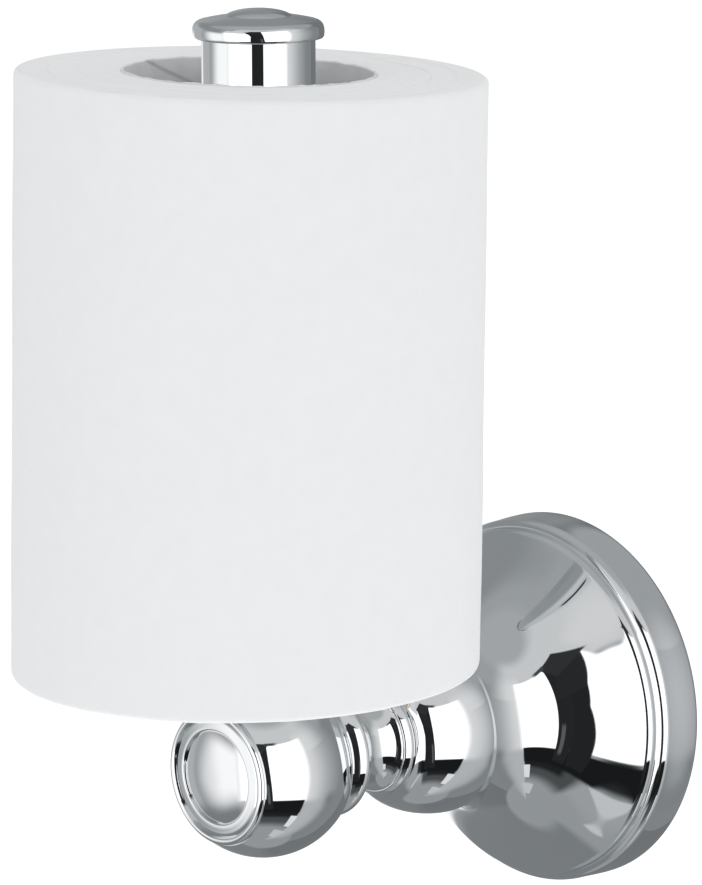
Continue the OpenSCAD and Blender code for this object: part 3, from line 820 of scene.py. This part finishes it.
def board_material(finish, axis):
    """Cardboard wound in strips, with the strips' seam running round it as a screw thread does."""
    def build(n, shader):
        place = n.position()
        turn = n.group(round_group(), Position=place, Axis=axis)
        lead, turns = 0.062, n.maths("DIVIDE", turn["Angle"], TAU)
        strip = n.maths("FRACT", n.maths("SUBTRACT", n.maths("DIVIDE", turn["Height"], lead), turns))
        seam = n.step(n.maths("ABSOLUTE", n.maths("SUBTRACT", strip, 0.5)), 0.012, 0.0)
        fibres = n.group(fibre_group(), Position=place, Fineness=1100.0)
        cloud = n.step(fibres["Cloud"], 0.2, 0.8)
        base = n.tint(cloud, shaded(finish.board, 0.93), shaded(finish.board, 1.05))
        n.feed(shader.inputs["Base Color"], n.tint(seam, base, shaded(finish.board, 0.7)))
        height = n.maths("SUBTRACT", fibres["Height"], seam)
        n.feed(shader.inputs["Normal"], n.bump(height, 0.0001, finish.grain))
    return material("core_cardboard", build, Roughness=0.88, Specular_IOR_Level=0.25)


def floor_material(studio):
    def build(n, shader):
        place = n.position()
        n.feed(shader.inputs["Normal"], n.bump(n.noise(place, 700.0, 3.0), 0.00004, 0.25))
        tone = n.noise(place, 3.0, 3.0)
        n.feed(shader.inputs["Base Color"],
               n.tint(tone, shaded(studio.floor, 0.985), shaded(studio.floor, 1.01)))
    return material("studio_floor", build, Roughness=0.8, Specular_IOR_Level=0.1,
                    Emission_Color=(1.0, 1.0, 1.0), Emission_Strength=0.45)


# Roll of tissue

def smooth_noise(*place):
    return wave.noise(Vector(place))


def ring_mesh(name, rows):
    """A closed surface through rings of points, the last ring joined to the first."""
    count, segments = len(rows), len(rows[0])
    points = [(x * MM, y * MM, z * MM) for row in rows for x, y, z in row]
    faces = []
    for j in range(count):
        k = (j + 1) % count
        for i in range(segments):
            n = (i + 1) % segments
            faces.append((j * segments + i, j * segments + n, k * segments + n, k * segments + i))
    mesh = bpy.data.meshes.new(name)
    mesh.from_pydata(points, [], faces)
    for face in mesh.polygons:
        face.use_smooth = True
    return new_object(name, mesh)


class RollForm:
    """Where the soft, slightly crooked roll has its surfaces, in millimetres.

    The foot is flat out to FLAT_R, where the disc carries it, and hangs free from FREE_R. TAIL is where
    the loose end of the sheet lies, and SHEET is its step.
    """

    SEGMENTS = 300
    LEAN = math.radians(46.5)
    FOOT_SHIFT = (-0.93, -0.98)
    TOP_SHIFT = (0.3, 0.31)
    TOP_TILT = -0.026
    FOOT_TILT = 0.012
    SHEET = 0.3
    TAIL = math.radians(118)
    FLAT_R, FREE_R = 29, 38

    def __init__(self, sizes, roll):
        at = Layout(sizes, roll)
        self.axis = (0.0, -at.reach - mm(roll.off_out))
        self.foot = at.roll_foot
        self.top = at.roll_foot + mm(roll.height) - 0.3
        self.core_r = at.core_r
        self.bore_r = mm(roll.core_bore) / 2
        self.foot_r, self.top_r = mm(roll.foot_d) / 2, mm(roll.top_d) / 2
        self.layer, self.ragged = mm(roll.layer), mm(roll.ragged)

    def across(self, angle, radius):
        """How far a point lies to the right, seen from the room's corner where the lens stood."""
        return radius * math.cos(angle - self.LEAN)

    def outer(self, angle, share_up):
        """Distance of the paper's side from the core's axis."""
        cx, cy = (foot + (top - foot) * share_up for foot, top in zip(self.FOOT_SHIFT, self.TOP_SHIFT))
        radius = self.foot_r + (self.top_r - self.foot_r) * share_up
        along = cx * math.cos(angle) + cy * math.sin(angle)
        side = along + math.sqrt(along * along - cx * cx - cy * cy + radius * radius)
        turn = ((angle - self.TAIL) % TAU) / TAU
        lump = smooth_noise(2.2 * math.cos(angle), 2.2 * math.sin(angle), 3.5 * share_up)
        dent = smooth_noise(7 * math.cos(angle), 7 * math.sin(angle), 9 * share_up + 5)
        return side - self.SHEET * turn + 0.15 + 0.16 * lump + 0.05 * dent

    def layers(self, angle, radius, seed):
        """Height of the wound layers' edges, each a little above or below its neighbour."""
        wound = (radius - self.core_r) / self.layer - angle / TAU
        number = math.floor(wound)
        place = number + angle / TAU
        groove = abs(2 * (wound - number) - 1) ** 3
        fine, broad = smooth_noise(2.3 * place, seed, 0), smooth_noise(0.35 * place, seed, 4)
        return 0.13 * fine + 0.10 * broad - 0.06 * groove

    def top_z(self, angle, radius):
        return self.top + self.TOP_TILT * self.across(angle, radius) + self.layers(angle, radius, 1.7)

    def foot_z(self, angle, radius):
        free = min(1.0, max(0.0, (radius - self.FLAT_R) / (self.FREE_R - self.FLAT_R)))
        uneven = self.FOOT_TILT * self.across(angle, radius) + self.layers(angle, radius, 8.3)
        return self.foot + free * uneven

    def point(self, angle, radius, z):
        return (self.axis[0] + radius * math.cos(angle), self.axis[1] + radius * math.sin(angle), z)

    def rows(self, paths):
        """Rings of points. Each path gives a radius and a height for an angle."""
        angles = [TAU * i / self.SEGMENTS for i in range(self.SEGMENTS)]
        return [[self.point(a, *path(a)) for a in angles] for path in paths]


def paper_rows(form):
    """Rings of the paper: up the side, in over the top, down the core and out over the foot.

    Also gives the first row of faces that belongs to the roll's ends, and the first one past them.
    """
    soft, side_rows, round_rows, end_rows = 0.9, 58, 5, 104
    inner = form.core_r + 0.04

    def side(share_up):
        def path(angle):
            low_r, high_r = form.outer(angle, 0.0), form.outer(angle, 1.0)
            low, high = form.foot_z(angle, low_r) + soft, form.top_z(angle, high_r) - soft
            return form.outer(angle, share_up), low + (high - low) * share_up
        return path

    def edge(share_up, turn):
        def path(angle):
            r = form.outer(angle, share_up)
            z = form.top_z(angle, r) - soft if share_up else form.foot_z(angle, r) + soft
            lift = soft * math.sin(turn) * (1 if share_up else -1)
            return r - soft * (1 - math.cos(turn)), z + lift
        return path

    def end(share_up, inward):
        def path(angle):
            rim = form.outer(angle, share_up) - soft
            r = rim + (inner - rim) * inward
            return r, form.top_z(angle, r) if share_up else form.foot_z(angle, r)
        return path

    turns = [math.pi / 2 * k / (round_rows + 1) for k in range(1, round_rows + 1)]
    inward = [k / end_rows for k in range(end_rows + 1)]
    paths = [side(k / side_rows) for k in range(side_rows + 1)]
    paths += [edge(1, turn) for turn in turns] + [end(1, k) for k in inward]
    paths += [end(0, k) for k in reversed(inward)] + [edge(0, turn) for turn in reversed(turns)]
    return form.rows(paths), side_rows + round_rows, len(paths) - round_rows


def core_rows(form):
    """Rings of the core: up the outside, over the frayed cut edge, down the bore."""
    def fray(angle, seed):
        x, y = math.cos(angle), math.sin(angle)
        return form.ragged * (smooth_noise(9 * x, 9 * y, seed) + 0.6 * smooth_noise(31 * x, 31 * y, seed))

    def cut(radius, seed, lift):
        def path(angle):
            return radius, form.top + form.TOP_TILT * form.across(angle, radius) + lift + fray(angle, seed)
        return path

    def inside(share_down):
        def path(angle):
            start = form.top + form.TOP_TILT * form.across(angle, form.bore_r) - 0.05
            wobble = 0.06 * smooth_noise(3 * math.cos(angle), 3 * math.sin(angle), 4 * share_down)
            return form.bore_r + 0.06 + wobble, start + (form.foot - start) * share_down
        return path

    middle, bore_rows = (form.bore_r + form.core_r) / 2, 24
    return form.rows([
        lambda angle: (form.core_r, form.foot), cut(form.core_r, 2.0, -0.1), cut(middle + 0.2, 3.0, 0.2),
        cut(middle - 0.15, 4.0, 0.24)] + [inside(k / bore_rows) for k in range(bore_rows + 1)])


# Studio

PHOTO_W, PHOTO_H = 702, 885
LENS_PX = 4829.96
LENS_AZIMUTH, LENS_ELEVATION, LENS_ROLL = 46.49, 11.118, -0.181
LENS_DISTANCE = 0.9229
ARM_ROOT_PX = (564.21, 692.28)
ROOM_LEVEL = 0.40

# Light panels and dark places round the object, in degrees. Each row holds the brightness, then the left
# and the right side, the bottom and the top, each with the width of its soft edge, and last the lean of
# the sides. Azimuth 0 looks out of the wall and grows towards the right. A row lies over those before it.
SURROUNDINGS = (
    ("ceiling", 0.45, (-180, 0), (180, 0), (64, 14), (90, 0), 0),
    ("glow above", 0.68, (-2, 8), (112, 40), (24, 2), (56, 14), 0),
    ("under", 0.36, (-180, 0), (180, 0), (-90, 0), (-62, 8), 0),
    ("under left", 0.24, (-180, 0), (-26, 12), (-66, 5), (-34, 10), 0),
    ("under right wall", 0.22, (150, 20), (180, 0), (-66, 5), (-30, 10), 0),
    ("wall right", 0.27, (165, 25), (180, 0), (-66, 5), (28, 10), 0),
    ("wall left", 0.20, (-180, 0), (-140, 14), (-66, 5), (28, 10), 0),
    ("left above", 0.30, (-135, 10), (-34, 10), (24, 14), (36, 12), 0),
    ("left side", 0.50, (-108, 12), (-74, 10), (-24, 8), (12, 12), 0),
    ("lamp far left", 1.1, (-122, 4), (-106, 5), (-26, 3), (-9, 8), 0),
    ("glow left", 1.15, (-37, 30), (-10, 2), (-16, 22), (3, 17), 0),
    ("skirt left", 0.75, (-16, 6), (14, 8), (-27, 3), (34, 10), 0),
    ("skirt right", 0.82, (96, 1), (104, 44), (-26, 16), (34, 18), 0),
    ("under right", 0.53, (107, 1.5), (116, 44), (-90, 0), (-38, 10), 0),
    ("panel left", 1.5, (-8, 16), (38, 1), (-27.5, 1), (20, 2), 0),
    ("panel left top", 1.5, (21.5, 2), (38, 1), (19, 2), (27, 2), 0),
    ("panel right", 1.5, (50, 1), (101, 10), (-30.5, 1), (39.5, 1.5), 0),
    ("light below", 0.62, (104.5, 1.5), (112, 1.5), (-60, 1), (-45.5, 1), 1.93),
    ("band left", 0.03, (14, 6), (26, 6), (-41, 5), (-29, 1.5), 0),
    ("band foot", 0.085, (34, 10), (100, 4), (-57, 13), (-44, 6), 0),
    ("band low", 0.018, (48, 9), (103, 2), (-49, 6), (-42, 3), 0),
    ("band", 0.012, (24, 4), (104, 2), (-44, 3), (-30.5, 1.5), 0),
    ("stand", 0.02, (34.8, 0.8), (48, 0.8), (-40, 2), (0.5, 0.5), 0.04),
    ("stand middle", 0.02, (34.8, 0.8), (50, 0.8), (-0.5, 0.5), (12.5, 0.5), -0.3),
    ("stand side", 0.022, (44, 0.8), (56.3, 0.8), (-40, 2), (38, 3), -0.12),
    ("stand top", 0.025, (38.8, 0.8), (62, 1), (11.5, 0.5), (29, 1), -0.63),
    ("stand hook", 0.035, (-6, 1.5), (17.5, 2), (28, 1), (41.5, 1), 0.9),
    ("stand tongue", 0.07, (50, 2), (62, 10), (40, 1.5), (42, 1.2), 0),
    ("stand light", 0.12, (50.5, 1), (53, 1), (-31, 5), (-12, 5), -0.12),
    ("bright slot", 0.85, (94, 1), (106, 1), (-64, 1), (-50, 1), 0),
    ("bright slot low", 0.62, (80, 6), (112, 6), (-82, 2), (-72, 2), 0),
)


def studio_world(studio):
    """The room by direction. Only mirrors see its panels; soft surfaces get an even soft light."""
    world = bpy.data.worlds.new("Studio")
    world.use_nodes = True
    n = Nodes(world.node_tree)
    x, y, z = n.parts(n.add("ShaderNodeTexCoord").outputs["Generated"])
    azimuth = n.maths("DEGREES", n.maths("ARCTAN2", x, n.maths("MULTIPLY", y, -1.0)))
    elevation = n.maths("DEGREES", n.maths("ARCSINE", z))
    level, hairline = ROOM_LEVEL, 0.01
    for _, brightness, *sides, lean in SURROUNDINGS:
        feeds = {"Azimuth": azimuth, "Elevation": elevation, "Lean": lean}
        for side, (place, soft) in zip(PANEL_SIDES, sides):
            feeds[side] = place
            feeds["Soft " + side.lower()] = soft + hairline
        level = n.blend(n.group(panel_group(), **feeds)["Mask"], level, brightness)
    room = n.maths("MULTIPLY", level, studio.panel_power)
    fill = n.blend(n.step(azimuth, 20.0, 120.0), studio.fill * 0.94, studio.fill * 1.08)
    path = n.add("ShaderNodeLightPath").outputs
    seen = n.blend(path["Is Diffuse Ray"], room, fill)
    seen = n.blend(path["Is Camera Ray"], seen, 1.0)
    cool, white = (0.93, 1.0, 1.025, 1.0), (1.0, 1.0, 1.0, 1.0)
    background = world.node_tree.nodes["Background"]
    n.feed(background.inputs["Color"], n.tint(n.step(seen, 0.0, 0.9), cool, white))
    n.feed(background.inputs["Strength"], seen)
    bpy.context.scene.world = world


def add_floor(studio):
    """A plain floor that mirrors don't see."""
    half, level = 4.0, -studio.floor_drop
    floor = bpy.data.meshes.new("floor")
    corners = [(-half, -half, level), (half, -half, level), (half, half, level), (-half, half, level)]
    floor.from_pydata(corners, [], [(0, 1, 2, 3)])
    piece = new_object("floor", floor)
    floor.materials.append(floor_material(studio))
    piece.visible_glossy = False


def add_light(name, place, target, size, power):
    """A soft area light that mirrors don't see."""
    data = bpy.data.lights.new(name, "AREA")
    data.shape, data.size, data.energy = "DISK", size, power
    light = new_object(name, data)
    away = Vector(place) - Vector(target)
    light.matrix_world = Matrix.Translation(place) @ away.to_track_quat("Z", "Y").to_matrix().to_4x4()
    light.visible_glossy = False
    light.visible_camera = False


def add_camera():
    """A camera at the photograph's viewing angle."""
    azimuth, elevation, roll = (math.radians(a) for a in (LENS_AZIMUTH, LENS_ELEVATION, LENS_ROLL))
    back = Vector((math.sin(azimuth) * math.cos(elevation), -math.cos(azimuth) * math.cos(elevation),
                   math.sin(elevation)))
    level = Vector((math.cos(azimuth), math.sin(azimuth), 0.0))
    upward = back.cross(level)
    right = math.cos(roll) * level + math.sin(roll) * upward
    up = -math.sin(roll) * level + math.cos(roll) * upward
    x0 = (ARM_ROOT_PX[0] - PHOTO_W / 2) * LENS_DISTANCE / LENS_PX
    y0 = -(ARM_ROOT_PX[1] - PHOTO_H / 2) * LENS_DISTANCE / LENS_PX
    data = bpy.data.cameras.new("photo_view")
    data.sensor_fit = "VERTICAL"
    data.sensor_height = 24.0
    data.lens = LENS_PX * data.sensor_height / PHOTO_H
    data.clip_start, data.clip_end = 0.05, 50.0
    camera = new_object("photo_view", data)
    turn = Matrix((right, up, back)).transposed()
    camera.matrix_world = Matrix.Translation(-x0 * right - y0 * up + LENS_DISTANCE * back) @ turn.to_4x4()
    bpy.context.scene.camera = camera


# Operators

class PieceOperator:
    bl_options = {"REGISTER", "UNDO"}


class OBJECT_OT_flange(PieceOperator, bpy.types.Operator):
    """Builds the bell-shaped flange with its neck"""
    bl_idname = "object.holder_flange"
    bl_label = "Flange"

    def execute(self, context):
        sizes, roll, finish, _ = settings()
        at = Layout(sizes, roll)
        piece = turned("flange_bell", flange_profile(sizes, at), chrome_material(finish),
                       segments=FINE_SEGMENTS)
        hole = rod("grub_hole", at.grub_r + at.FIT, -at.flange_r - 1, -at.plate_bore_r + 1,
                   (0, -at.grub_y * MM, 0))
        cut(piece, hole)
        finish_piece(piece, "holder", "chrome_plate", "flange")
        return {"FINISHED"}


class OBJECT_OT_arm(PieceOperator, bpy.types.Operator):
    """Builds the collar, the bead ring and the ball of the arm"""
    bl_idname = "object.holder_arm"
    bl_label = "Arm"

    def execute(self, context):
        sizes, roll, finish, _ = settings()
        at = Layout(sizes, roll)
        chrome = chrome_material(finish)
        collar = turned("arm_collar", collar_profile(sizes, at), chrome)
        finish_piece(collar, "holder", "chrome_plate", "neck_collar")
        bead = turned("arm_bead", bead_profile(sizes, at), chrome)
        finish_piece(bead, "holder", "chrome_plate", "bead_ring")
        ball = turned("arm_ball", ball_profile(sizes, at), chrome, segments=FINE_SEGMENTS)
        axis = (0, -at.reach * MM, 0)
        cut(ball, rod("post_seat", at.post_r + at.FIT, at.hub_seat, at.ball_r + 1, axis),
            rod("stud_seat", at.bolt_r + at.FIT, 0, at.ball_r, axis))
        finish_piece(ball, "holder", "chrome_plate", "ball_body")
        return {"FINISHED"}


class OBJECT_OT_cover(PieceOperator, bpy.types.Operator):
    """Builds the round cover on the front of the ball"""
    bl_idname = "object.holder_cover"
    bl_label = "Ball cover"

    def execute(self, context):
        sizes, roll, finish, _ = settings()
        profile = cover_profile(sizes, Layout(sizes, roll))
        piece = turned("ball_cover", profile, chrome_material(finish), segments=FINE_SEGMENTS)
        finish_piece(piece, "holder", "chrome_plate", "end_cap")
        return {"FINISHED"}


class OBJECT_OT_post(PieceOperator, bpy.types.Operator):
    """Builds the disc, the post's tube and its cap"""
    bl_idname = "object.holder_post"
    bl_label = "Post"

    def execute(self, context):
        sizes, roll, finish, _ = settings()
        at = Layout(sizes, roll)
        chrome = chrome_material(finish)
        axis = (0, -at.reach * MM, 0)
        for name, profile, node in (("roll_disc", disc_profile, "rest_disc"),
                                    ("post_pipe", tube_profile, "post_tube"),
                                    ("post_top_cap", post_cap_profile, "post_cap")):
            piece = turned(name, profile(sizes, at), chrome, axis, upright=True)
            finish_piece(piece, "holder", "chrome_plate", node, mirrored=node != "rest_disc")
        return {"FINISHED"}


class OBJECT_OT_fixings(PieceOperator, bpy.types.Operator):
    """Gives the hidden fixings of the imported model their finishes"""
    bl_idname = "object.holder_fixings"
    bl_label = "Fixings"

    def execute(self, context):
        sizes, roll, finish, _ = settings()
        post_axis = (0, -Layout(sizes, roll).reach * MM, 0)
        zinc = turned_metal("zinc_arm", finish.zinc, 1.2, (0, 0, 0), False, 0.28)
        stud = turned_metal("zinc_stud", finish.zinc, 1.2, post_axis, True, 0.28)
        brass = turned_metal("brass_turned", finish.brass, 0.8, post_axis, True, 0.22)
        finishes = {"wall_plate": zinc, "grub_screw": stud, "arm_bolt": zinc, "arm_washer": zinc,
                    "arm_nut": zinc, "post_stud": stud, "foot_bush": brass, "head_bush": brass,
                    "cap_seal": rubber_material(finish)}
        for node, made in finishes.items():
            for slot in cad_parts[node].material_slots:
                slot.material = made
        return {"FINISHED"}


class OBJECT_OT_core(PieceOperator, bpy.types.Operator):
    """Builds the cardboard core of the roll"""
    bl_idname = "object.holder_roll_core"
    bl_label = "Roll core"

    def execute(self, context):
        sizes, roll, finish, _ = settings()
        form = RollForm(sizes, roll)
        piece = ring_mesh("core_tube", core_rows(form))
        piece.data.materials.append(board_material(finish, (0, form.axis[1] * MM, 0)))
        finish_piece(piece, "roll_inner", "core_board", "roll_core", mirrored=False)
        return {"FINISHED"}


class OBJECT_OT_paper(PieceOperator, bpy.types.Operator):
    """Builds the wound tissue of the roll"""
    bl_idname = "object.holder_roll_paper"
    bl_label = "Roll paper"

    def execute(self, context):
        sizes, roll, finish, _ = settings()
        form = RollForm(sizes, roll)
        rows, first_end, past_ends = paper_rows(form)
        piece = ring_mesh("tissue_roll", rows)
        axis = (0, form.axis[1] * MM, 0)
        piece.data.materials.append(paper_side_material(finish, axis))
        piece.data.materials.append(paper_end_material(finish, roll, axis))
        for face in piece.data.polygons:
            row = face.index // form.SEGMENTS
            face.material_index = int(first_end <= row < past_ends)
        finish_piece(piece, "roll_outer", "tissue", "roll_paper", mirrored=False)
        return {"FINISHED"}


class OBJECT_OT_studio(PieceOperator, bpy.types.Operator):
    """Sets up the floor, the light and the camera"""
    bl_idname = "object.holder_studio"
    bl_label = "Studio"

    def execute(self, context):
        studio = settings()[3]
        studio_world(studio)
        add_floor(studio)
        add_light("overhead", (0.15, -0.25, 1.3), (0, -0.05, 0), 1.2, studio.overhead)
        add_camera()
        context.scene.view_settings.view_transform = "Standard"
        return {"FINISHED"}


class VIEW3D_PT_holder(bpy.types.Panel):
    """Lists the pieces and the sizes of the holder"""
    bl_label = "Roll holder"
    bl_space_type = "VIEW_3D"
    bl_region_type = "UI"
    bl_category = "Roll holder"

    def draw(self, context):
        for operator in OPERATORS:
            self.layout.operator(operator.bl_idname)
        for group in settings():
            box = self.layout.box()
            for name in group.bl_rna.properties.keys():
                if name not in ("rna_type", "name"):
                    box.prop(group, name)


OPERATORS = (OBJECT_OT_flange, OBJECT_OT_arm, OBJECT_OT_cover, OBJECT_OT_post, OBJECT_OT_fixings,
             OBJECT_OT_core, OBJECT_OT_paper, OBJECT_OT_studio)
GROUPS = {"holder_sizes": HolderSizes, "roll_sizes": RollSizes, "holder_finish": HolderFinish,
          "holder_studio": StudioSettings}


def register():
    for cls in (*GROUPS.values(), *OPERATORS, VIEW3D_PT_holder):
        bpy.utils.register_class(cls)
    for name, group in GROUPS.items():
        setattr(bpy.types.Scene, name, bpy.props.PointerProperty(type=group))


def unregister():
    for name in GROUPS:
        delattr(bpy.types.Scene, name)
    for cls in (VIEW3D_PT_holder, *reversed(OPERATORS), *GROUPS.values()):
        bpy.utils.unregister_class(cls)


def main():
    """Builds every piece and the stage."""
    register()
    for operator in OPERATORS:
        family, name = operator.bl_idname.split(".")
        getattr(getattr(bpy.ops, family), name)()


if __name__ == "__main__":
    main()
